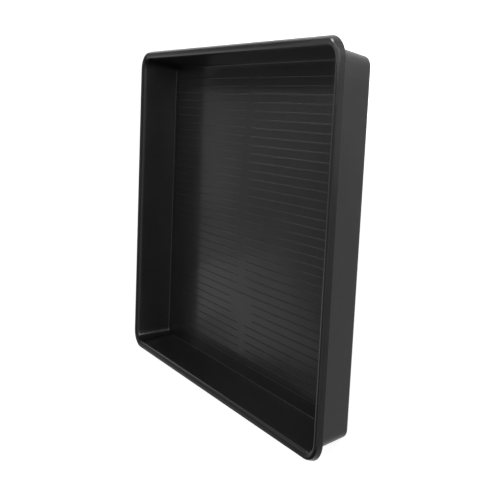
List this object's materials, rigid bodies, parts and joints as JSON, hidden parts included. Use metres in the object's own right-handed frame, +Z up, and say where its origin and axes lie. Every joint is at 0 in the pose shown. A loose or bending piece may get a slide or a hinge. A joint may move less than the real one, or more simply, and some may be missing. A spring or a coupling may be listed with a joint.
{
  "type": "plant growing tray",
  "caption": "Shallow rectangular black growing tray with leaning walls, a flat rim rolled over into a hanging lip, and fine parallel ridges across its floor.",
  "frame": {"origin": "under the middle of the floor, on the surface that the tray stands on", "axes": "+X along the tray's longer side and its floor ridges, +Y along the shorter side, +Z up out of the open top"},
  "size_m": [0.6, 0.525, 0.062],
  "materials": {
    "black_polypropylene": "satin moulded polypropylene, a little glossier on the floor"
  },
  "bodies": {
    "root": {"floor_panel": "black_polypropylene", "wall_right": "black_polypropylene", "wall_back": "black_polypropylene", "wall_left": "black_polypropylene", "wall_front": "black_polypropylene", "wall_corner_back_right": "black_polypropylene", "wall_corner_back_left": "black_polypropylene", "wall_corner_front_left": "black_polypropylene", "wall_corner_front_right": "black_polypropylene", "rim_right": "black_polypropylene", "rim_back": "black_polypropylene", "rim_left": "black_polypropylene", "rim_front": "black_polypropylene", "rim_corner_back_right": "black_polypropylene", "rim_corner_back_left": "black_polypropylene", "rim_corner_front_left": "black_polypropylene", "rim_corner_front_right": "black_polypropylene", "lip_right": "black_polypropylene", "lip_back": "black_polypropylene", "lip_left": "black_polypropylene", "lip_front": "black_polypropylene", "lip_corner_back_right": "black_polypropylene", "lip_corner_back_left": "black_polypropylene", "lip_corner_front_left": "black_polypropylene", "lip_corner_front_right": "black_polypropylene"}
  },
  "joints": []
}
